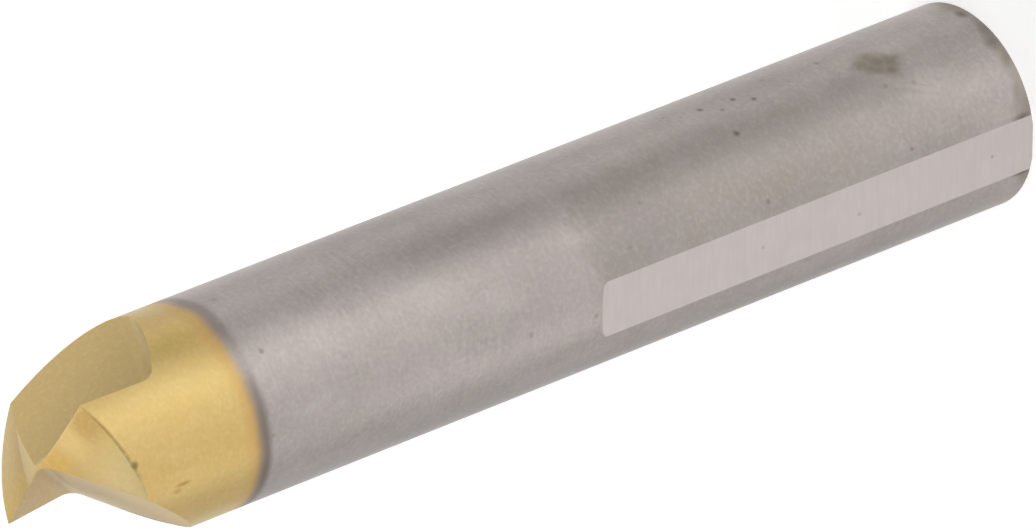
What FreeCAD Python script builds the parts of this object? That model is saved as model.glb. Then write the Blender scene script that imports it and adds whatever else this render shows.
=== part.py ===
import FreeCAD, Part
import math
import os

# Milling cutter: a short end mill with two straight flutes, ground from one round blank.
# Millimetres and degrees. Origin at the centre of the shank's end face, +Z along the axis to the
# cutting end, +X square to the drive flat. Seen from the cutting end it turns counter-clockwise.

# Blank
shank_diameter = 6.0
overall_length = 33.0
end_edge_break = 0.08

# Drive flat, ground along the shank from its end face; its length is that of the full-depth floor
flat_depth = 0.125
flat_length = 15.5
flat_wheel_radius = 0.37

# Cutting edges: each rises from its corner to a kink, and more steeply from there to the centre
first_tooth_angle = 57.5
edge_kink_radius = 1.4
outer_edge_rise = 1.7
inner_edge_rise = 6.7

# End relief: it falls away behind each cutting edge, on a large curve
relief_start_angle = 18.3
relief_curve_radius = 12.4

# Flutes: a V groove between a tooth's face and a back wall, with a round bottom. The back wall
# falls outwards along the tooth and forwards from it, and curves into a shallow run-out wall.
back_wall_fall_outward = 41.6
back_wall_fall_forward = 44.7
back_wall_rise_at_axis = 0.13
flute_bottom_radius = 0.5
runout_rise_outward = 17.7
runout_fall_forward = 19.8
runout_radius = 1.2

# The two flutes are ground alike, but the second is a little more raked and longer
first_face_rake = 0.5
first_runout_depth = 3.67
second_face_rake = 6.0
second_runout_depth = 4.3

# Worked out from the sizes above
radius = shank_diameter / 2
outer_edge_width = radius - edge_kink_radius
kink_rise = outer_edge_width * math.tan(math.radians(outer_edge_rise))
centre_rise = kink_rise + edge_kink_radius * math.tan(math.radians(inner_edge_rise))
corner_height = overall_length - centre_rise
second_tooth_angle = first_tooth_angle + 180.0
reach = 2 * shank_diameter

# How near to a plane a point has to be to count as in it
tolerance = 0.000001

origin = FreeCAD.Vector(0, 0, 0)
along_x = FreeCAD.Vector(1, 0, 0)
along_y = FreeCAD.Vector(0, 1, 0)
along_z = FreeCAD.Vector(0, 0, 1)


def slope(angle):
    return math.tan(math.radians(angle))


def blank():
    """The round blank, with its sharp edge broken at the shank's end face."""
    cone = Part.makeCone(radius - end_edge_break, radius, end_edge_break)
    cylinder = Part.makeCylinder(radius, overall_length - end_edge_break,
                                 FreeCAD.Vector(0, 0, end_edge_break))
    return cone.fuse(cylinder).removeSplitter()


def drive_flat_cutter():
    """What the wheel takes off above the flat: a slab whose inner end is rounded by the wheel's corner."""
    floor = radius - flat_depth
    slab_end = flat_length + flat_wheel_radius
    slab = Part.makeBox(radius, shank_diameter, slab_end + radius,
                        FreeCAD.Vector(floor, -radius, -radius))
    inner_edges = []
    for edge in slab.Edges:
        middle = edge.CenterOfMass
        if abs(middle.x - floor) < tolerance and abs(middle.z - slab_end) < tolerance:
            inner_edges.append(edge)
    return slab.makeFillet(flat_wheel_radius, inner_edges)


def relief_drum(edge_point, rise):
    """The large round bar whose side is the relief behind a cutting edge that leans by rise."""
    start = math.radians(relief_start_angle)
    behind = math.sin(start) * relief_curve_radius
    below = math.cos(start) * relief_curve_radius
    drum = Part.makeCylinder(relief_curve_radius, 2 * reach,
                             FreeCAD.Vector(-reach, behind, -below), along_x)
    drum.rotate(origin, along_y, rise)
    drum.translate(edge_point)
    return drum


def end_relief_cutter():
    """What is ground off behind one cutting edge, which lies along +X here, in two facets."""
    corner = FreeCAD.Vector(radius, 0, corner_height)
    kink = FreeCAD.Vector(edge_kink_radius, 0, corner_height + kink_rise)
    end_block = Part.makeBox(2 * radius, 2 * radius, 2 * radius,
                             FreeCAD.Vector(-radius, -radius, corner_height - radius))
    return end_block.cut(relief_drum(corner, outer_edge_rise)).cut(relief_drum(kink, inner_edge_rise))


def block_above(point, normal):
    """A large block on the side of a plane that its normal points to."""
    block = Part.makeBox(2 * reach, 2 * reach, reach, FreeCAD.Vector(-reach, -reach, 0))
    block.Placement = FreeCAD.Placement(point, FreeCAD.Rotation(along_z, normal))
    return block


def edges_between(shape, plane, other_plane):
    """The edges of a shape that lie in both planes, each given as a point and a normal."""
    found = []
    for edge in shape.Edges:
        middle = edge.CenterOfMass
        if all(abs((middle - point).dot(normal)) < tolerance for point, normal in (plane, other_plane)):
            found.append(edge)
    return found


def flute_cutter(rake, runout_depth):
    """The groove in front of one cutting edge, which lies along +X here. Its face leans by rake, and
    its run-out wall, carried on to the axis, would meet it runout_depth below the corner."""
    face = (FreeCAD.Vector(0, 0, corner_height),
            FreeCAD.Vector(0, 1, -slope(rake)))
    wall = (FreeCAD.Vector(0, 0, corner_height + back_wall_rise_at_axis),
            FreeCAD.Vector(slope(back_wall_fall_outward), slope(back_wall_fall_forward), 1))
    runout = (FreeCAD.Vector(0, 0, corner_height - runout_depth),
              FreeCAD.Vector(-slope(runout_rise_outward), slope(runout_fall_forward), 1))
    groove = block_above(*face).common(block_above(*wall)).common(block_above(*runout))
    groove = groove.makeFillet(runout_radius, edges_between(groove, wall, runout))
    return groove.makeFillet(flute_bottom_radius, edges_between(groove, face, wall))


def milling_cutter():
    """The finished cutter: the blank less its drive flat, its flutes and its end reliefs."""
    body = blank().cut(drive_flat_cutter())
    teeth = (
        (first_tooth_angle, flute_cutter(first_face_rake, first_runout_depth)),
        (second_tooth_angle, flute_cutter(second_face_rake, second_runout_depth)),
    )
    for angle, flute in teeth:
        for cutter in (flute, end_relief_cutter()):
            cutter.rotate(origin, along_z, angle)
            body = body.cut(cutter)
    return body.removeSplitter()


os.makedirs("parts", exist_ok=True)
cutter = milling_cutter()
solid = cutter.Solids[0]
solid.exportStep("parts/milling_cutter.step")
box = solid.optimalBoundingBox()
print("solids", len(cutter.Solids), "valid", solid.isValid(), "faces", len(solid.Faces))
print("volume mm3", round(solid.Volume, 3), "length", round(box.ZLength, 4), "width", round(box.XLength, 4))
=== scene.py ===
import math

import bmesh
import bpy
from mathutils import Matrix, Quaternion, Vector


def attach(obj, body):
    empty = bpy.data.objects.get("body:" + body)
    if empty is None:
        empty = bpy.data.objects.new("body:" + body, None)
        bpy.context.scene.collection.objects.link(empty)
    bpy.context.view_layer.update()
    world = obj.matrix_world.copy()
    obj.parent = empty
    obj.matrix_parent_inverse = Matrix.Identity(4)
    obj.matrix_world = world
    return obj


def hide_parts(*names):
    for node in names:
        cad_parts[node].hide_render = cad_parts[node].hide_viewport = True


# Milling cutter: a ground steel shank with a drive flat, and a cutting end coated with titanium
# nitride. It stands on its shank end, +Z up towards the cutting end, +X square to the flat.
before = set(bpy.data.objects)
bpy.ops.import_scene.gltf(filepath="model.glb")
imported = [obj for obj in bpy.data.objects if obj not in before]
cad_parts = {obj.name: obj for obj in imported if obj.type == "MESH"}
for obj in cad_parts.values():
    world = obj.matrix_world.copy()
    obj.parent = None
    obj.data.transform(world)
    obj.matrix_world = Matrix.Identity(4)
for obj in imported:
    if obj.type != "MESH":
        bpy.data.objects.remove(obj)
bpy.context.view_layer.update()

MM = 0.001

# Sizes of the steel in millimetres and degrees, as in the construction. The cutter is modelled with
# a millimetre as its unit, and comes down to its real size when it is finished.
SHANK_RADIUS = 3.0
OVERALL_LENGTH = 33.0
END_EDGE_BREAK = 0.08
FLAT_DEPTH = 0.125
FLAT_LENGTH = 15.5
FLAT_WHEEL_RADIUS = 0.37
FIRST_TOOTH_ANGLE = 57.5
SECOND_TOOTH_ANGLE = 237.5
KINK_RADIUS = 1.4
OUTER_EDGE_RISE = 1.7
INNER_EDGE_RISE = 6.7
RELIEF_START_ANGLE = 18.3
RELIEF_CURVE_RADIUS = 12.4
BACK_WALL_FALL_OUTWARD = 41.6
BACK_WALL_FALL_FORWARD = 44.7
BACK_WALL_RISE_AT_AXIS = 0.13
FLUTE_BOTTOM_RADIUS = 0.5
RUNOUT_RISE_OUTWARD = 17.7
RUNOUT_FALL_FORWARD = 19.8
RUNOUT_RADIUS = 1.2
FIRST_FACE_RAKE = 0.5
FIRST_RUNOUT_DEPTH = 3.67
SECOND_FACE_RAKE = 6.0
SECOND_RUNOUT_DEPTH = 4.3

# How round the ground edges are, from what angle an edge is worn and below what angle it looks smooth,
# how finely curves are divided, what is too short to keep, and how near to a plane counts as in it
WORN_EDGE = 0.02
WORN_EDGE_STEPS = 2
WORN_EDGE_ANGLE = 16
SMOOTH_ANGLE = 40
SHANK_SIDES = 256
DRUM_SIDES = 900
FILLET_STEPS = 10
SHORTEST_EDGE = 0.01
NEAR = 0.001

# Camera: the angle about the axis and the elevation that it looks from, the point that it looks at
# and its distance from there in millimetres. Its roll lays the standing cutter across the picture.
VIEW_ANGLE = 35.2
VIEW_ELEVATION = 34.2
CAMERA_AIM = (-0.06, 0.38, 16.25)
CAMERA_DISTANCE = 396.8
CAMERA_ROLL = -111.4
CAMERA_LENS = 502.5

# Lamps: the angle about the axis, the elevation, and the power in watts
LAMP_SIZE = (0.16, 0.22)
LAMP_DISTANCE = 0.35
LAMPS = (
    (-165, 12, 0.15),
    (-121, 50, 0.33),
    (-33, 12, 0.21),
    (-11, 12, 0.12),
    (11, 12, 0.17),
    (33, 12, 0.23),
    (55, 12, 0.34),
    (77, 12, 0.09),
    (121, 12, 0.11),
    (165, 12, 0.13),
)

# The studio around the cutter lights it only a little. The table top glows so that it shows white, less
# beside the cutter, where its shadow has to show, and in full further away. Its size and distances are in
# metres, and a strength of 1 is white.
STUDIO_LIGHT = 0.15
FLOOR_SIZE = 3.0
GLOW_NEAR = 0.06
GLOW_FAR = 0.3
GLOW_AT_CUTTER = 0.57
GLOW_FOR_METAL = 0.75

# The drive flat lies at an x above the first limit and a height below the second, and the ground faces
# of the cutting end at a height above the third, all in millimetres
FLAT_FRONT = 2.8
FLAT_BELOW = 20.0
GROUND_FACES_ABOVE = 27.9

# The coated end: its lower edge lies in a plane that leans a little, turned about a line at an angle
# around the axis, and it wobbles by as much as the last number in millimetres
COATING_EDGE_HEIGHT = 27.777
COATING_EDGE_LEAN = 0.0362
COATING_EDGE_TURN = 35.2
COATING_EDGE_WOBBLE = 0.12

# How much steeper the end relief gets with each millimetre behind the cutting edge
RELIEF_STEEPENING = 0.052

# Patterns: how many patches fit in a millimetre along x, y and z, and the levels of the noise at which
# a patch starts and is full. On the real steel the grinding rings and the grain are some hundredths of
# a millimetre wide. They are too fine to show, so here they are drawn about a tenth wide.
RINGS = ((1.2, 1.2, 9.0), 0.35, 0.65)
GRAIN = ((8.0, 8.0, 8.0), 0.38, 0.62)
GLINTS = ((6.0, 6.0, 8.0), 0.48, 0.68)
FLAT_LINES = ((0.3, 0.8, 8.0), 0.38, 0.7)
MOTTLE = ((2.2, 2.2, 1.6), 0.4, 0.62)
SOFT_CLOUDS = ((0.9, 0.9, 0.5), 0.42, 0.6)
FLAT_CLOUDS = ((1.6, 1.6, 1.6), 0.4, 0.65)
GOLD_CLOUDS = ((0.7, 0.7, 0.4), 0.42, 0.6)
FINE_CLOUDS = ((4.0, 4.0, 3.0), 0.4, 0.65)
TARNISH = ((2.2, 2.2, 2.2), 0.42, 0.6)
SMEARS = ((3.0, 3.0, 3.0), 0.35, 0.6)
LINE_BREAKS = ((3.0, 3.0, 1.0), 0.35, 0.55)

# Patterns in the same way, but on the unrolled shank: around it, and along it
OLIVE_PATCHES = ((0.8, 0.35, 1.0), 0.45, 0.6)
SCRATCHES = ((5.0, 0.9, 1.0), 0.48, 0.66)

# The olive smudge, a slanting rectangle on the unrolled shank: two ways across it, where it starts and
# ends along each, and how soft its sides are, in millimetres
SMUDGE_SIDES = (
    ((0.728, 0.714, 0), 5.12, 6.4, 0.45),
    ((0.827, -0.563, 0), 0.62, 1.48, 0.4),
)

# The walls of the flutes, painted lighter or darker by the way that each faces: painted light and shade.
# For each: the way that it faces, its colour, and the cosines of the angle off that way at which the
# colour starts and is full
FLUTE_WALL_LIGHT_AND_SHADE = (
    ((-0.216, 0.769, 0.602), "#C4AB74", 0.96, 0.985),
    ((0.838, -0.536, -0.102), "#B59863", 0.77, 0.9),
    ((0.216, -0.769, 0.601), "#D4BD91", 0.96, 0.985),
)

# A dark speck on the edge of the first tooth's end face, where the coating is chipped
EDGE_SPECK = (2.86, 0.92, 31.93)

# Pits in the steel: the angle about the axis, the height and the radius in millimetres, and how dark
PITS = (
    (66, 9.5, 0.15, 0.9),
    (92, 9.7, 0.15, 0.85),
    (90, 8.6, 0.14, 0.9),
    (84, 8.1, 0.13, 0.85),
    (85, 9.2, 0.11, 0.5),
    (92, 10.4, 0.11, 0.3),
    (98, 10.8, 0.1, 0.25),
    (98, 7.2, 0.12, 0.35),
    (87, 6.7, 0.1, 0.3),
    (93, 5.4, 0.13, 0.4),
    (92, 6.0, 0.1, 0.25),
    (60, 4.3, 0.13, 0.4),
    (56, 3.4, 0.12, 0.3),
    (29, 2.5, 0.12, 0.25),
    (25, 9.6, 0.12, 0.55),
    (23, 4.4, 0.11, 0.5),
    (29, 14.5, 0.12, 0.35),
    (49, 13.6, 0.11, 0.25),
    (49, 26.9, 0.13, 0.55),
    (5, 27.3, 0.1, 0.4),
    (4, 18.3, 0.14, 0.35),
    (0, 16.0, 0.13, 0.4),
    (0, 9.9, 0.09, 0.35),
    (-3, 6.4, 0.09, 0.45),
    (0, 1.5, 0.09, 0.5),
    (91, 26.9, 0.13, 0.3),
)

# Dark places in the brown band at the shank's end: the angle and the height of the middle, how far it
# reaches around and along, and how dark
END_MARKS_AND_FLAT_EDGE_SHADE = (
    (87.3, 0.35, 0.32, 0.25, 0.7),
    (61, 0.35, 0.4, 0.4, 0.5),
    (72, 0.2, 0.7, 0.25, 0.3),
    (50, 0.2, 0.4, 0.25, 0.3),
    # painted shade along the drive flat's two edges
    (17.2, 0.4, 0.16, 0.5, 0.75),
    (-17.0, 0.4, 0.13, 0.45, 0.8),
)

# Darker places, in the same way, painted shade among them: the two at -38 degrees are a painted dark
# reflection that runs along the shank, and the one at 8 degrees is painted shade on the steel below the
# coating
DARKER_PLACES_AND_PAINTED_SHADE = (
    (71, 18.8, 1.1, 5.2, 0.65),
    (38, 18.0, 2.3, 4.5, 0.38),
    (8, 27.0, 2.3, 7.0, 0.32),
    (-38, 14.0, 0.9, 28.0, 0.4),
    (-38, 7.0, 0.8, 8.0, 0.4),
    (92, 7.5, 0.9, 3.0, 0.25),
    (107, 22.0, 1.0, 4.0, 0.4),
    (67, 3.5, 0.4, 0.5, 0.6),
    (70, 5.3, 0.6, 1.2, 0.35),
    (38, 13.0, 0.7, 1.0, 0.3),
    (19, 3.5, 0.6, 3.0, 0.4),
)

# Brighter places, in the same way
BRIGHT_PLACES = (
    (59, 3.0, 1.0, 1.7, 0.5),
    (96, 1.2, 0.6, 0.5, 0.5),
    (55, 25.8, 0.7, 2.2, 0.35),
    (13, 25.8, 0.5, 2.0, 0.35),
    (28, 19.0, 0.6, 1.5, 0.35),
)

# Nicks in the coating, in the same way
NICKS = (
    (-2.3, 30.4, 0.09, 0.38, 0.8),
    (-5.5, 30.6, 0.12, 0.2, 0.5),
)

# Paler and more olive places on the round of the coated end, in the same way, each with its colour
GOLD_PLACES = (
    (51, 29.8, 1.3, 3.2, "#D2BC80", 0.55),
    (71, 29.4, 0.7, 1.5, "#BCA25A", 0.6),
    (112, 28.2, 1.9, 2.2, "#C4AF82", 1.0),
    (-45, 29.0, 0.9, 3.5, "#CBBA8F", 0.9),
)


def linear(hex_colour):
    """A colour written as sRGB hex, turned to the linear values that the shaders take."""
    channels = [int(hex_colour[i:i + 2], 16) / 255 for i in (1, 3, 5)]
    return [c / 12.92 if c <= 0.04045 else ((c + 0.055) / 1.055) ** 2.4 for c in channels] + [1.0]


def slope(angle):
    return math.tan(math.radians(angle))


KINK_RISE = (SHANK_RADIUS - KINK_RADIUS) * slope(OUTER_EDGE_RISE)
CORNER_HEIGHT = OVERALL_LENGTH - KINK_RISE - KINK_RADIUS * slope(INNER_EDGE_RISE)


def add_node(tree, kind, inputs=None, **settings):
    """Adds a node. Each input is given a value, or the output that feeds it."""
    made = tree.nodes.new(kind)
    for name, value in settings.items():
        setattr(made, name, value)
    for key, value in (inputs or {}).items():
        if isinstance(value, bpy.types.NodeSocket):
            tree.links.new(value, made.inputs[key])
        else:
            made.inputs[key].default_value = value
    return made


def new_material(name):
    material = bpy.data.materials.new(name)
    material.use_nodes = True
    material.node_tree.nodes.clear()
    return material, material.node_tree


def direction(azimuth, elevation):
    """The direction at an angle about the axis and an elevation, both in degrees."""
    about, above = math.radians(azimuth), math.radians(elevation)
    return Vector((math.cos(above) * math.cos(about), math.cos(above) * math.sin(about), math.sin(above)))


def place_camera():
    outward = direction(VIEW_ANGLE, VIEW_ELEVATION)
    turn = outward.to_track_quat("Z", "Y") @ Quaternion((0, 0, 1), math.radians(CAMERA_ROLL))
    camera = bpy.data.objects.new("camera", bpy.data.cameras.new("camera"))
    camera.location = (Vector(CAMERA_AIM) + outward * CAMERA_DISTANCE) * MM
    camera.rotation_euler = turn.to_euler()
    camera.data.sensor_width = 36
    camera.data.lens = CAMERA_LENS
    camera.data.clip_start = 0.01
    camera.data.clip_end = 10
    bpy.context.collection.objects.link(camera)
    bpy.context.scene.camera = camera


def add_lamp(angle, elevation, power):
    """A soft lamp that looks at the middle of the cutter, from an angle about its axis."""
    middle = Vector((0, 0, OVERALL_LENGTH / 2 * MM))
    outward = direction(angle, elevation)
    lamp = bpy.data.lights.new("lamp", "AREA")
    lamp.shape = "RECTANGLE"
    lamp.size, lamp.size_y = LAMP_SIZE
    lamp.energy = power
    holder = bpy.data.objects.new("lamp", lamp)
    holder.location = middle + outward * LAMP_DISTANCE
    holder.rotation_euler = outward.to_track_quat("Z", "Y").to_euler()
    bpy.context.collection.objects.link(holder)


def light_scene():
    """A ring of soft lamps, and a white studio that the camera sees and that lights only a little."""
    for angle, elevation, power in LAMPS:
        add_lamp(angle, elevation, power)
    world = bpy.data.worlds.new("studio")
    world.use_nodes = True
    tree = world.node_tree
    tree.nodes.clear()
    rays = add_node(tree, "ShaderNodeLightPath")
    dim = add_node(tree, "ShaderNodeBackground", {"Color": linear("#FFFFFF"), "Strength": STUDIO_LIGHT})
    white = add_node(tree, "ShaderNodeBackground", {"Color": linear("#FFFFFF"), "Strength": 1.0})
    mix = add_node(tree, "ShaderNodeMixShader",
                   {0: rays.outputs["Is Camera Ray"], 1: dim.outputs[0], 2: white.outputs[0]})
    add_node(tree, "ShaderNodeOutputWorld", {"Surface": mix.outputs[0]})
    bpy.context.scene.world = world


def lay_floor():
    """A white table top of matt laminate. It scatters the light evenly and has no sheen of its own, so
    the camera and the metal see plain white, with the cutter's faint shadow."""
    bpy.ops.object.select_all(action="DESELECT")
    bpy.ops.mesh.primitive_plane_add(size=FLOOR_SIZE, location=(0, 0, 0))
    floor = bpy.context.object
    floor.name = "floor"
    material, tree = new_material("white_table")
    rays = add_node(tree, "ShaderNodeLightPath")
    paint = add_node(tree, "ShaderNodeBsdfDiffuse", {"Color": linear("#E6E6E6")})
    for_metal = add_node(tree, "ShaderNodeMath", {0: rays.outputs["Is Glossy Ray"], 1: GLOW_FOR_METAL},
                         operation="MULTIPLY")
    place = add_node(tree, "ShaderNodeTexCoord")
    away = add_node(tree, "ShaderNodeVectorMath", {0: place.outputs["Object"]}, operation="LENGTH")
    whiteness = add_node(tree, "ShaderNodeMapRange",
                         {0: away.outputs["Value"], 1: GLOW_NEAR, 2: GLOW_FAR, 3: GLOW_AT_CUTTER, 4: 1.0})
    glow = add_node(tree, "ShaderNodeMath",
                    {0: rays.outputs["Is Camera Ray"], 1: whiteness.outputs[0], 2: for_metal.outputs[0]},
                    operation="MULTIPLY_ADD")
    light = add_node(tree, "ShaderNodeEmission", {"Color": linear("#FFFFFF"), "Strength": glow.outputs[0]})
    surface = add_node(tree, "ShaderNodeAddShader", {0: paint.outputs[0], 1: light.outputs[0]})
    add_node(tree, "ShaderNodeOutputMaterial", {"Surface": surface.outputs[0]})
    floor.data.materials.append(material)


def overlap(tree, *masks):
    """The part that several masks have in common."""
    common = masks[0]
    for mask in masks[1:]:
        common = add_node(tree, "ShaderNodeMath", {0: common, 1: mask}, operation="MULTIPLY").outputs[0]
    return common


def spot(tree, sheet, angle, height, across, along):
    """A soft oval on the unrolled shank: 1 at its middle, 0 from its rim outwards."""
    middle = (math.radians(angle) * SHANK_RADIUS, height, 0)
    away = add_node(tree, "ShaderNodeVectorMath", {0: sheet, 1: middle}, operation="SUBTRACT")
    scaled = add_node(tree, "ShaderNodeVectorMath", {0: away.outputs[0], 1: (1 / across, 1 / along, 0)},
                      operation="MULTIPLY")
    reach = add_node(tree, "ShaderNodeVectorMath", {0: scaled.outputs[0]}, operation="LENGTH")
    return add_node(tree, "ShaderNodeMapRange", {0: reach.outputs["Value"], 1: 1.0, 2: 0.0},
                    interpolation_type="SMOOTHSTEP").outputs[0]


def strip(tree, place, low, high, blur):
    """A strip across one coordinate: 1 between two limits, each limit blurred over a distance."""
    start = add_node(tree, "ShaderNodeMapRange", {0: place, 1: low - blur / 2, 2: low + blur / 2},
                     interpolation_type="SMOOTHSTEP")
    end = add_node(tree, "ShaderNodeMapRange", {0: place, 1: high + blur / 2, 2: high - blur / 2},
                   interpolation_type="SMOOTHSTEP")
    return overlap(tree, start.outputs[0], end.outputs[0])


def patches(tree, point, per_mm, low, high):
    """Uneven patches: 0 where a noise is below its low limit, 1 above its high one."""
    stretched = add_node(tree, "ShaderNodeVectorMath", {0: point, 1: per_mm}, operation="MULTIPLY")
    noise = add_node(tree, "ShaderNodeTexNoise",
                     {"Vector": stretched.outputs[0], "Scale": 1.0, "Detail": 3.0})
    return add_node(tree, "ShaderNodeMapRange", {0: noise.outputs[0], 1: low, 2: high}).outputs[0]


def lay_over(tree, under, colour, mask, strength):
    """Lays a colour over another where a mask says so, with a strength from 0 to 1."""
    amount = add_node(tree, "ShaderNodeMath", {0: mask, 1: strength}, operation="MULTIPLY", use_clamp=True)
    return add_node(tree, "ShaderNodeMix", {0: amount.outputs[0], 6: under, 7: colour},
                    data_type="RGBA").outputs[2]


def facing(tree, normal, way, least, full):
    """Where the surface faces a way, by the cosine of the angle between them."""
    unit = Vector(way).normalized()
    towards = add_node(tree, "ShaderNodeVectorMath", {0: normal, 1: unit}, operation="DOT_PRODUCT")
    return add_node(tree, "ShaderNodeMapRange", {0: towards.outputs["Value"], 1: least, 2: full}).outputs[0]


def steel_colour(tree, point, sheet, around, up, flat):
    """Bare ground steel: a warm grey with grinding rings and grain, stains, wear and a paler drive flat."""
    rings = patches(tree, point, *RINGS)
    grain = patches(tree, point, *GRAIN)
    colour = lay_over(tree, linear("#ACA4A1"), linear("#A49D99"), rings, 0.4)
    colour = lay_over(tree, colour, linear("#A19A96"), grain, 0.4)
    colour = lay_over(tree, colour, linear("#ABA49D"), patches(tree, point, *MOTTLE), 0.6)
    colour = lay_over(tree, colour, linear("#B4ABA9"), patches(tree, point, *SOFT_CLOUDS), 0.5)

    # The stretch where the cutter was gripped and stained, with a ragged upper edge and olive patches
    rough = add_node(tree, "ShaderNodeTexNoise", {"Vector": point, "Scale": 2.6, "Detail": 3.0})
    ragged = add_node(tree, "ShaderNodeMath", {0: rough.outputs[0], 1: 1.5, 2: up},
                      operation="MULTIPLY_ADD")
    fade = add_node(tree, "ShaderNodeMapRange", {0: up, 1: 1.5, 2: 8.0, 3: 0.1, 4: 1.0})
    grip = overlap(tree, strip(tree, ragged.outputs[0], 2.6, 16.5, 0.8), strip(tree, around, 0.7, 3.9, 1.0),
                   fade.outputs[0])
    colour = lay_over(tree, colour, linear("#958E89"), grip, 0.68)
    olive = patches(tree, sheet, *OLIVE_PATCHES)
    colour = lay_over(tree, colour, linear("#979180"), overlap(tree, grip, olive), 0.3)
    colour = lay_over(tree, colour, linear("#8A8383"), spot(tree, sheet, 44, 14.0, 1.6, 2.6), 0.4)

    # Darker places, with painted shade and a painted dark reflection among them, and brighter places,
    # each on its place around the shank
    for places, shade in ((DARKER_PLACES_AND_PAINTED_SHADE, "#908986"), (BRIGHT_PLACES, "#BDB5B1")):
        for angle, height, across, along, strength in places:
            darker_or_brighter = spot(tree, sheet, angle, height, across, along)
            colour = lay_over(tree, colour, linear(shade), darker_or_brighter, strength)

    # The rings and the grain once more, a little darker, and glints where a grain catches the light
    colour = lay_over(tree, colour, linear("#7D7673"), rings, 0.06)
    colour = lay_over(tree, colour, linear("#7D7673"), grain, 0.1)
    colour = lay_over(tree, colour, linear("#D2CAC6"), patches(tree, point, *GLINTS), 0.1)

    # The drive flat, which is paler, with the wheel's lines across it
    flat_lines = patches(tree, point, *FLAT_LINES)
    flat_clouds = patches(tree, point, *FLAT_CLOUDS)
    flat_steel = lay_over(tree, linear("#BEB6B3"), linear("#B5ADAA"), flat_lines, 0.55)
    flat_steel = lay_over(tree, flat_steel, linear("#B7AFAC"), flat_clouds, 0.5)
    return lay_over(tree, colour, flat_steel, flat, 1.0)


def end_band(tree, colour, point, sheet, around, up, plain_sheet, round_part):
    """The brown band at the shank's end, which the flat cuts through, with darker places in it, two of them
    painted shade at the flat's edges.
    """
    wider = spot(tree, sheet, 18, 0.4, 1.2, 2.0)
    limit = add_node(tree, "ShaderNodeMath", {0: wider, 1: -0.2, 2: up}, operation="MULTIPLY_ADD")
    band = overlap(tree, strip(tree, limit.outputs[0], -2.0, 0.4, 0.36), round_part,
                   strip(tree, around, -1.4, 6.0, 0.6))
    colour = lay_over(tree, colour, linear("#98918A"), band, 0.8)
    tarnish = patches(tree, point, *TARNISH)
    colour = lay_over(tree, colour, linear("#8C8276"), overlap(tree, band, tarnish), 0.4)
    for angle, height, across, along, strength in END_MARKS_AND_FLAT_EDGE_SHADE:
        mark_or_shade = overlap(tree, round_part, spot(tree, plain_sheet, angle, height, across, along))
        colour = lay_over(tree, colour, linear("#6B625B"), mark_or_shade, strength)
    return colour


def steel_marks(tree, colour, point, plain_sheet, wobble):
    """Pits in the steel, fine slanting scratches near the shank's end, and the olive smudge."""
    for angle, height, radius, strength in PITS:
        pit = spot(tree, plain_sheet, angle, height, radius, radius)
        colour = lay_over(tree, colour, linear("#675F5B"), pit, strength)

    across = add_node(tree, "ShaderNodeVectorMath", {0: plain_sheet, 1: (0.88, -0.47, 0)},
                      operation="DOT_PRODUCT")
    along = add_node(tree, "ShaderNodeVectorMath", {0: plain_sheet, 1: (0.47, 0.88, 0)},
                     operation="DOT_PRODUCT")
    slanting = add_node(tree, "ShaderNodeCombineXYZ", {0: across.outputs["Value"], 1: along.outputs["Value"]})
    scratches = overlap(tree, patches(tree, slanting.outputs[0], *SCRATCHES),
                        spot(tree, plain_sheet, 55, 3.1, 0.8, 1.7))
    colour = lay_over(tree, colour, linear("#8B837F"), scratches, 0.35)

    uneven = add_node(tree, "ShaderNodeVectorMath", {0: wobble, 1: (0.45, 0.45, 0), 2: plain_sheet},
                      operation="MULTIPLY_ADD").outputs[0]
    between_sides = []
    for way, low, high, blur in SMUDGE_SIDES:
        along = add_node(tree, "ShaderNodeVectorMath", {0: uneven, 1: way}, operation="DOT_PRODUCT")
        between_sides.append(strip(tree, along.outputs["Value"], low, high, blur))
    smears = patches(tree, point, *SMEARS)
    thin = add_node(tree, "ShaderNodeMapRange", {0: smears, 3: 0.6, 4: 1.0})
    return lay_over(tree, colour, linear("#7F7767"), overlap(tree, *between_sides, thin.outputs[0]), 0.85)


def coating_colour(tree, point, sheet, normal, ground_face):
    """Titanium nitride: a pale gold, a little more orange or more olive from place to place, with painted
    light and shade on its ground faces.
    """
    colour = lay_over(tree, linear("#CAAF74"), linear("#C7A566"), patches(tree, point, *GOLD_CLOUDS), 0.45)
    colour = lay_over(tree, colour, linear("#C1A96E"), patches(tree, point, *FINE_CLOUDS), 0.4)
    for angle, height, across, along, shade, strength in GOLD_PLACES:
        place = spot(tree, sheet, angle, height, across, along)
        colour = lay_over(tree, colour, linear(shade), place, strength)

    # The ground faces of the cutting end, each painted a shade of its own by the way it faces: painted light
    # and shade
    colour = lay_over(tree, colour, linear("#C9B079"), ground_face, 0.9)
    for way, shade, least, full in FLUTE_WALL_LIGHT_AND_SHADE:
        wall = overlap(tree, facing(tree, normal, way, least, full), ground_face)
        colour = lay_over(tree, colour, linear(shade), wall, 1.0)
    colour = end_face_light_and_shade(tree, colour, point, normal, ground_face)

    # The coating's grain, a little darker and a little brighter from place to place
    colour = lay_over(tree, colour, linear("#A88F55"), patches(tree, point, *GRAIN), 0.1)
    return lay_over(tree, colour, linear("#E6CE94"), patches(tree, point, *GLINTS), 0.14)


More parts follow.
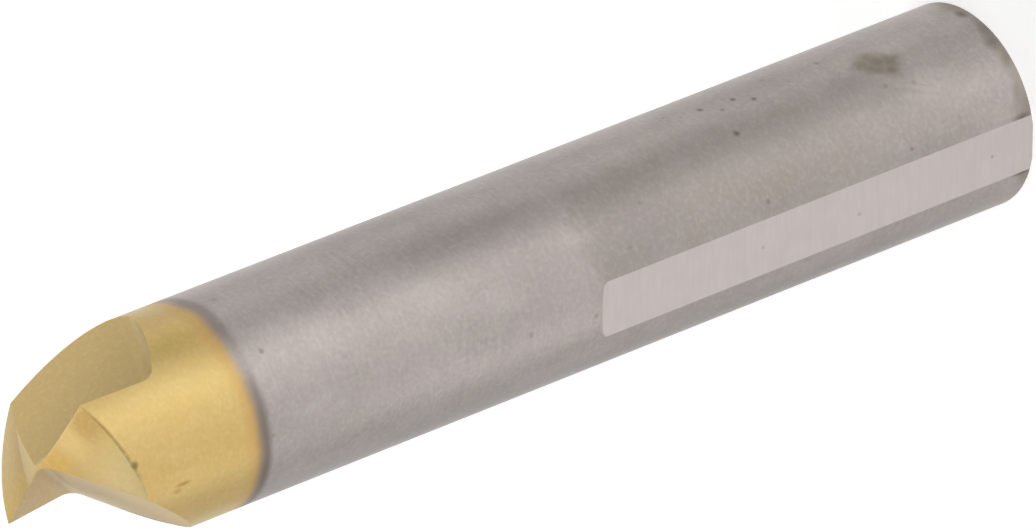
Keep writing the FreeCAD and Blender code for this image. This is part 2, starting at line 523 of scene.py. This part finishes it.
def end_face_light_and_shade(tree, colour, point, normal, ground_face):
    """The end faces behind the two cutting edges, painted in lighter and darker strips: painted light and
    shade of their facets. Places on them are given by how far they lie outward along the first tooth,
    forward of its cutting edge, and away from the axis."""
    turn = math.radians(FIRST_TOOTH_ANGLE)
    outward = add_node(tree, "ShaderNodeVectorMath", {0: point, 1: (math.cos(turn), math.sin(turn), 0)},
                       operation="DOT_PRODUCT").outputs["Value"]
    forward = add_node(tree, "ShaderNodeVectorMath", {0: point, 1: (-math.sin(turn), math.cos(turn), 0)},
                       operation="DOT_PRODUCT").outputs["Value"]
    level = add_node(tree, "ShaderNodeVectorMath", {0: point, 1: (1, 1, 0)}, operation="MULTIPLY")
    away = add_node(tree, "ShaderNodeVectorMath", {0: level.outputs[0]}, operation="LENGTH").outputs["Value"]
    top = overlap(tree, facing(tree, normal, (0, 0, 1), 0.78, 0.84), ground_face)

    first = overlap(tree, top, strip(tree, forward, -4.0, 0.15, 0.3))
    back = strip(tree, forward, -4.0, -1.3, 1.6)
    middle = strip(tree, away, -1.0, 1.05, 0.8)
    heel = overlap(tree, strip(tree, outward, 2.0, 4.0, 0.9), strip(tree, forward, -0.8, 1.0, 0.7))
    kink = overlap(tree, strip(tree, outward, 1.1, 1.9, 0.6), strip(tree, forward, -0.8, 1.0, 0.8))
    # The first end face, in strips of painted light and shade
    colour = lay_over(tree, colour, linear("#CAAF71"), first, 1.0)
    for part, shade, strength in ((back, "#D9C38D", 1.0), (middle, "#D2AE64", 1.0),
                                  (heel, "#B8985E", 0.8), (kink, "#D5B97E", 1.0)):
        colour = lay_over(tree, colour, linear(shade), overlap(tree, first, part), strength)

    # The second end face, in strips of painted light and shade in the same way
    second = overlap(tree, top, strip(tree, forward, 0.0, 4.0, 0.3))
    lower = overlap(tree, second, strip(tree, outward, -4.0, -1.1, 0.1))
    yellow = overlap(tree, lower, strip(tree, forward, -1.0, 0.6, 1.4))
    colour = lay_over(tree, colour, linear("#D1BB88"), second, 1.0)
    colour = lay_over(tree, colour, linear("#C0A464"), lower, 1.0)
    return lay_over(tree, colour, linear("#CBAC59"), yellow, 1.0)


def coating_chips_and_edge_shade(tree, colour, point, plain_sheet, up, from_axis):
    """The dark line under the first tooth's end face, which is painted shade along that edge, with a speck
    in it, and nicks on the side.
    """
    turn = math.radians(FIRST_TOOTH_ANGLE)
    behind = add_node(tree, "ShaderNodeVectorMath", {0: point, 1: (math.sin(turn), -math.cos(turn), 0)},
                      operation="DOT_PRODUCT").outputs["Value"]
    # A thin line of painted shade along the edge under the first tooth's end face, broken here and there
    steepness = add_node(tree, "ShaderNodeMath",
                         {0: behind, 1: RELIEF_STEEPENING, 2: slope(RELIEF_START_ANGLE)},
                         operation="MULTIPLY_ADD").outputs[0]
    from_edge = add_node(tree, "ShaderNodeMath", {0: behind, 1: steepness, 2: up}, operation="MULTIPLY_ADD")
    edge_shade_line = overlap(tree, strip(tree, from_edge.outputs[0], CORNER_HEIGHT - 0.045, CORNER_HEIGHT + 0.05, 0.04),
                   strip(tree, behind, 0.45, 2.1, 0.9), strip(tree, from_axis, 2.93, 4.0, 0.04))
    breaks = patches(tree, point, *LINE_BREAKS)
    broken = add_node(tree, "ShaderNodeMapRange", {0: breaks, 3: 0.5, 4: 1.0})
    colour = lay_over(tree, colour, linear("#8A6F44"), overlap(tree, edge_shade_line, broken.outputs[0]), 0.55)
    away = add_node(tree, "ShaderNodeVectorMath", {0: point, 1: EDGE_SPECK}, operation="DISTANCE")
    speck = add_node(tree, "ShaderNodeMapRange", {0: away.outputs["Value"], 1: 0.17, 2: 0.03},
                     interpolation_type="SMOOTHSTEP")
    colour = lay_over(tree, colour, linear("#5E4B30"), speck.outputs[0], 0.6)
    for angle, height, across, along, strength in NICKS:
        nick = spot(tree, plain_sheet, angle, height, across, along)
        colour = lay_over(tree, colour, linear("#A07A42"), nick, strength)
    return colour


def above_coating_edge(tree, point):
    """How far a place lies above the coating's edge, which leans a little and wobbles."""
    turn = math.radians(COATING_EDGE_TURN)
    lean = (COATING_EDGE_LEAN * math.sin(turn), -COATING_EDGE_LEAN * math.cos(turn), 1.0)
    level = add_node(tree, "ShaderNodeVectorMath", {0: point, 1: lean}, operation="DOT_PRODUCT")
    noise = add_node(tree, "ShaderNodeTexNoise", {"Vector": point, "Scale": 1.8, "Detail": 2.0})
    lowest = COATING_EDGE_HEIGHT - COATING_EDGE_WOBBLE / 2
    edge = add_node(tree, "ShaderNodeMath", {0: noise.outputs[0], 1: COATING_EDGE_WOBBLE, 2: lowest},
                    operation="MULTIPLY_ADD")
    return add_node(tree, "ShaderNodeMath", {0: level.outputs["Value"], 1: edge.outputs[0]},
                    operation="SUBTRACT").outputs[0]


def halo(tree, plain_sheet, above, upper_side):
    """The dark halo under the coating's edge, which is wider at the upper side, stronger at the lower
    side and weak between them."""
    wider = add_node(tree, "ShaderNodeMath", {0: upper_side, 1: 0.17, 2: above}, operation="MULTIPLY_ADD")
    ring = strip(tree, wider.outputs[0], -0.32, 0.8, 0.3)
    strong_side = spot(tree, plain_sheet, -5, 27.7, 3.6, 4.0)
    weak_side = spot(tree, plain_sheet, 49, 27.7, 1.1, 4.0)
    strong = add_node(tree, "ShaderNodeMath", {0: strong_side, 1: 0.45, 2: 0.6}, operation="MULTIPLY_ADD")
    strength = add_node(tree, "ShaderNodeMath", {0: weak_side, 1: -0.45, 2: strong.outputs[0]},
                        operation="MULTIPLY_ADD")
    return overlap(tree, ring, strength.outputs[0])


def coated_steel():
    """The cutter's surface. High-speed tool steel, cylindrically ground, is a dull warm grey that smears
    the light along the shank, because its fine grinding rings run around it. Titanium nitride on the
    same ground steel gives a pale gold with the same dull shine."""
    material, tree = new_material("ground_tool_steel")
    place = add_node(tree, "ShaderNodeTexCoord")
    point = add_node(tree, "ShaderNodeVectorMath", {0: place.outputs["Object"], "Scale": 1 / MM},
                     operation="SCALE").outputs[0]
    axes = add_node(tree, "ShaderNodeSeparateXYZ", {0: point})
    up = axes.outputs["Z"]

    # The unrolled shank, the distance around it and the height, and the same with a small wobble
    turn = add_node(tree, "ShaderNodeMath", {0: axes.outputs["Y"], 1: axes.outputs["X"]}, operation="ARCTAN2")
    around = add_node(tree, "ShaderNodeMath", {0: turn.outputs[0], 1: SHANK_RADIUS}, operation="MULTIPLY")
    plain_sheet = add_node(tree, "ShaderNodeCombineXYZ", {0: around.outputs[0], 1: up}).outputs[0]
    noise = add_node(tree, "ShaderNodeTexNoise", {"Vector": point, "Scale": 1.6, "Detail": 4.0})
    wobble = add_node(tree, "ShaderNodeVectorMath", {0: noise.outputs["Color"], 1: (0.5, 0.5, 0.5)},
                      operation="SUBTRACT").outputs[0]
    wavy_sheet = add_node(tree, "ShaderNodeVectorMath", {0: wobble, 1: (0.7, 0.5, 0), 2: plain_sheet},
                          operation="MULTIPLY_ADD").outputs[0]
    wavy_axes = add_node(tree, "ShaderNodeSeparateXYZ", {0: wavy_sheet})
    wavy_around, wavy_up = wavy_axes.outputs[0], wavy_axes.outputs[1]

    # What lies inside the round of the blank is ground away: the drive flat, and the faces of the end
    level = add_node(tree, "ShaderNodeVectorMath", {0: point, 1: (1, 1, 0)}, operation="MULTIPLY")
    from_axis = add_node(tree, "ShaderNodeVectorMath", {0: level.outputs[0]},
                         operation="LENGTH").outputs["Value"]
    off_round = add_node(tree, "ShaderNodeMapRange",
                         {0: from_axis, 1: SHANK_RADIUS - 0.001, 2: SHANK_RADIUS - 0.004}).outputs[0]
    front = add_node(tree, "ShaderNodeMath", {0: axes.outputs["X"], 1: FLAT_FRONT}, operation="GREATER_THAN")
    shank_part = add_node(tree, "ShaderNodeMath", {0: up, 1: FLAT_BELOW}, operation="LESS_THAN")
    tip_part = add_node(tree, "ShaderNodeMath", {0: up, 1: GROUND_FACES_ABOVE}, operation="GREATER_THAN")
    flat = overlap(tree, off_round, front.outputs[0], shank_part.outputs[0])
    round_part = add_node(tree, "ShaderNodeMath", {0: 1.0, 1: flat}, operation="SUBTRACT").outputs[0]
    ground_face = overlap(tree, off_round, tip_part.outputs[0])

    steel = steel_colour(tree, point, wavy_sheet, wavy_around, wavy_up, flat)
    steel = end_band(tree, steel, point, wavy_sheet, wavy_around, wavy_up, plain_sheet, round_part)
    steel = steel_marks(tree, steel, point, plain_sheet, wobble)
    above = above_coating_edge(tree, point)
    upper_side = spot(tree, plain_sheet, 88, 27.7, 2.6, 4.0)
    steel = lay_over(tree, steel, linear("#7D726B"), halo(tree, plain_sheet, above, upper_side), 1.0)

    # The coating, darker along its edge, which reaches a little lower at the upper side
    gold = coating_colour(tree, point, wavy_sheet, place.outputs["Normal"], ground_face)
    gold = coating_chips_and_edge_shade(tree, gold, point, plain_sheet, up, from_axis)
    rim = strip(tree, above, -1.0, 0.4, 0.4)
    darker_rim = overlap(tree, rim, spot(tree, plain_sheet, 26, 28, 2.8, 4.0))
    gold = lay_over(tree, gold, linear("#BF9A5F"), rim, 0.45)
    gold = lay_over(tree, gold, linear("#BF9A5F"), darker_rim, 0.3)
    lower = add_node(tree, "ShaderNodeMath", {0: upper_side, 1: 0.09, 2: above}, operation="MULTIPLY_ADD")
    coat = add_node(tree, "ShaderNodeMapRange", {0: lower.outputs[0], 1: -0.18, 2: 0.29},
                    interpolation_type="SMOOTHSTEP")
    colour = lay_over(tree, steel, gold, coat.outputs[0], 1.0)

    # The shine is stretched along the axis, across the grinding rings
    ring = add_node(tree, "ShaderNodeVectorMath", {0: point, 1: (0.1, 0.1, 0), 2: (0, 0, 1)},
                    operation="MULTIPLY_ADD")
    shader = add_node(tree, "ShaderNodeBsdfPrincipled",
                      {"Base Color": colour, "Metallic": 1.0, "Roughness": 0.5, "Anisotropic": 0.8,
                       "Tangent": ring.outputs[0]})
    add_node(tree, "ShaderNodeOutputMaterial", {"Surface": shader.outputs[0]})
    return material


def start_piece(name):
    """Names the primitive that was just added, with its place and turn in its mesh."""
    piece = bpy.context.object
    piece.name = name
    bpy.ops.object.transform_apply(location=True, rotation=True, scale=True)
    return piece


def add_block(name, low, high):
    bpy.ops.object.select_all(action="DESELECT")
    middle = [(a + b) / 2 for a, b in zip(low, high)]
    bpy.ops.mesh.primitive_cube_add(size=1, location=middle, scale=[b - a for a, b in zip(low, high)])
    return start_piece(name)


def select_edges(piece, wanted):
    """Opens a piece for editing, with the edges selected that pass a test."""
    bpy.context.view_layer.objects.active = piece
    bpy.ops.object.mode_set(mode="EDIT")
    bpy.ops.mesh.select_mode(type="EDGE")
    bpy.ops.mesh.select_all(action="DESELECT")
    shape = bmesh.from_edit_mesh(piece.data)
    for edge in shape.edges:
        edge.select_set(wanted(edge))
    bmesh.update_edit_mesh(piece.data)


def round_edges(piece, wanted, turn, radius, steps):
    """Rounds the edges that pass a test, where the faces turn by an angle in radians."""
    select_edges(piece, wanted)
    bpy.ops.mesh.bevel(offset=radius * math.tan(turn / 2), segments=steps, affect="EDGES")
    bpy.ops.object.mode_set(mode="OBJECT")


def take_away(piece, tool):
    """Cuts a tool's shape out of a piece, and puts the tool away."""
    cut = piece.modifiers.new("cut", "BOOLEAN")
    cut.operation = "DIFFERENCE"
    cut.solver = "EXACT"
    cut.object = tool
    bpy.ops.object.select_all(action="DESELECT")
    bpy.context.view_layer.objects.active = piece
    piece.select_set(True)
    bpy.ops.object.modifier_apply(modifier="cut")
    bpy.data.objects.remove(tool)


def turn_about_axis(piece, angle):
    bpy.ops.object.select_all(action="DESELECT")
    piece.select_set(True)
    bpy.context.view_layer.objects.active = piece
    piece.rotation_euler.z = math.radians(angle)
    bpy.ops.object.transform_apply(location=True, rotation=True, scale=True)


def round_blank():
    bpy.ops.object.select_all(action="DESELECT")
    bpy.ops.mesh.primitive_cylinder_add(vertices=SHANK_SIDES, radius=SHANK_RADIUS, depth=OVERALL_LENGTH,
                                        location=(0, 0, OVERALL_LENGTH / 2))
    blank = start_piece("cutter")
    select_edges(blank, lambda edge: all(v.co.z < END_EDGE_BREAK for v in edge.verts))
    bpy.ops.mesh.bevel(offset=END_EDGE_BREAK, segments=1, affect="EDGES")
    bpy.ops.object.mode_set(mode="OBJECT")
    return blank


def drive_flat_tool():
    """The slab that the wheel takes off above the flat, with the wheel's rounded corner."""
    floor = SHANK_RADIUS - FLAT_DEPTH
    end = FLAT_LENGTH + FLAT_WHEEL_RADIUS
    slab = add_block("flat_tool", (floor, -SHANK_RADIUS, -SHANK_RADIUS),
                     (2 * SHANK_RADIUS, SHANK_RADIUS, end))

    def inner_corner(edge):
        return all(abs(v.co.x - floor) < NEAR and abs(v.co.z - end) < NEAR for v in edge.verts)

    round_edges(slab, inner_corner, math.radians(90), FLAT_WHEEL_RADIUS, 2 * FILLET_STEPS)
    return slab


def keep_above(piece, point, normal):
    """Cuts a piece along a plane, and keeps the side that the plane's normal points to."""
    bpy.context.view_layer.objects.active = piece
    bpy.ops.object.mode_set(mode="EDIT")
    bpy.ops.mesh.select_all(action="SELECT")
    bpy.ops.mesh.bisect(plane_co=point, plane_no=normal, use_fill=True, clear_inner=True)
    bpy.ops.object.mode_set(mode="OBJECT")


def flute_tool(rake, runout_depth):
    """The groove in front of a cutting edge that lies along +X: its face, its back wall and its run-out."""
    reach = 4 * SHANK_RADIUS
    planes = {
        "face": (Vector((0, 0, CORNER_HEIGHT)), Vector((0, 1, -slope(rake)))),
        "wall": (Vector((0, 0, CORNER_HEIGHT + BACK_WALL_RISE_AT_AXIS)),
                 Vector((slope(BACK_WALL_FALL_OUTWARD), slope(BACK_WALL_FALL_FORWARD), 1))),
        "runout": (Vector((0, 0, CORNER_HEIGHT - runout_depth)),
                   Vector((-slope(RUNOUT_RISE_OUTWARD), slope(RUNOUT_FALL_FORWARD), 1))),
    }
    groove = add_block("flute_tool", (-reach, -reach, CORNER_HEIGHT - reach),
                       (reach, reach, CORNER_HEIGHT + reach))
    for point, normal in planes.values():
        keep_above(groove, point, normal)

    def in_plane(edge, name):
        point, normal = planes[name]
        return all(abs((v.co - point).dot(normal.normalized())) < NEAR for v in edge.verts)

    def inside(edge):
        return any(max(abs(v.co.x), abs(v.co.y)) < reach - 0.01 for v in edge.verts)

    turn = planes["wall"][1].angle(planes["runout"][1])
    round_edges(groove, lambda edge: in_plane(edge, "wall") and in_plane(edge, "runout"),
                turn, RUNOUT_RADIUS, FILLET_STEPS)
    turn = planes["face"][1].angle(planes["wall"][1])
    round_edges(groove, lambda edge: in_plane(edge, "face") and inside(edge),
                turn, FLUTE_BOTTOM_RADIUS, FILLET_STEPS)
    return groove


def relief_drum(point, rise):
    """The large round bar whose side is the relief behind a cutting edge."""
    bpy.ops.object.select_all(action="DESELECT")
    bpy.ops.mesh.primitive_cylinder_add(vertices=DRUM_SIDES, radius=RELIEF_CURVE_RADIUS,
                                        depth=16 * SHANK_RADIUS)
    drum = start_piece("relief_drum")
    start = math.radians(RELIEF_START_ANGLE)
    behind = math.sin(start) * RELIEF_CURVE_RADIUS
    below = math.cos(start) * RELIEF_CURVE_RADIUS
    lie_down = Matrix.Rotation(math.radians(90), 4, "Y")
    shift = Matrix.Translation((0, behind, -below))
    lean = Matrix.Rotation(math.radians(rise), 4, "Y")
    drum.matrix_world = Matrix.Translation(point) @ lean @ shift @ lie_down
    drum.select_set(True)
    bpy.ops.object.transform_apply(location=True, rotation=True, scale=True)
    return drum


def end_relief_tool():
    """What is ground off behind a cutting edge that lies along +X, in two facets."""
    low = CORNER_HEIGHT - SHANK_RADIUS
    reach = 1.2 * SHANK_RADIUS
    block = add_block("relief_tool", (-reach, -reach, low), (reach, reach, CORNER_HEIGHT + SHANK_RADIUS))
    take_away(block, relief_drum(Vector((SHANK_RADIUS, 0, CORNER_HEIGHT)), OUTER_EDGE_RISE))
    take_away(block, relief_drum(Vector((KINK_RADIUS, 0, CORNER_HEIGHT + KINK_RISE)), INNER_EDGE_RISE))
    return block


def finish_edges(piece):
    """Rounds every ground edge a little, and shades flat faces flat and round ones round."""
    bpy.ops.object.select_all(action="DESELECT")
    piece.select_set(True)
    bpy.context.view_layer.objects.active = piece
    bpy.ops.object.mode_set(mode="EDIT")
    bpy.ops.mesh.select_all(action="SELECT")
    bpy.ops.mesh.remove_doubles(threshold=SHORTEST_EDGE)
    bpy.ops.object.mode_set(mode="OBJECT")
    edge_wear = piece.modifiers.new("edge_wear", "BEVEL")
    edge_wear.width = WORN_EDGE
    edge_wear.segments = WORN_EDGE_STEPS
    edge_wear.limit_method = "ANGLE"
    edge_wear.angle_limit = math.radians(WORN_EDGE_ANGLE)
    bpy.ops.object.modifier_apply(modifier="edge_wear")
    bpy.ops.object.shade_smooth_by_angle(angle=math.radians(SMOOTH_ANGLE))
    shading = piece.modifiers.new("shading", "WEIGHTED_NORMAL")
    shading.keep_sharp = True
    bpy.ops.object.modifier_apply(modifier="shading")


def bring_to_size(piece):
    piece.scale = (MM, MM, MM)
    bpy.ops.object.select_all(action="DESELECT")
    piece.select_set(True)
    bpy.context.view_layer.objects.active = piece
    bpy.ops.object.transform_apply(location=True, rotation=True, scale=True)


def make_cutter():
    cutter = round_blank()
    take_away(cutter, drive_flat_tool())
    teeth = (
        (FIRST_TOOTH_ANGLE, FIRST_FACE_RAKE, FIRST_RUNOUT_DEPTH),
        (SECOND_TOOTH_ANGLE, SECOND_FACE_RAKE, SECOND_RUNOUT_DEPTH),
    )
    for angle, rake, runout_depth in teeth:
        for tool in (flute_tool(rake, runout_depth), end_relief_tool()):
            turn_about_axis(tool, angle)
            take_away(cutter, tool)
    finish_edges(cutter)
    bring_to_size(cutter)
    cutter.data.materials.clear()
    cutter.data.materials.append(coated_steel())
    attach(cutter, "root")
    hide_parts("milling_cutter")


bpy.context.scene.view_settings.view_transform = "Standard"
place_camera()
light_scene()
lay_floor()
make_cutter()
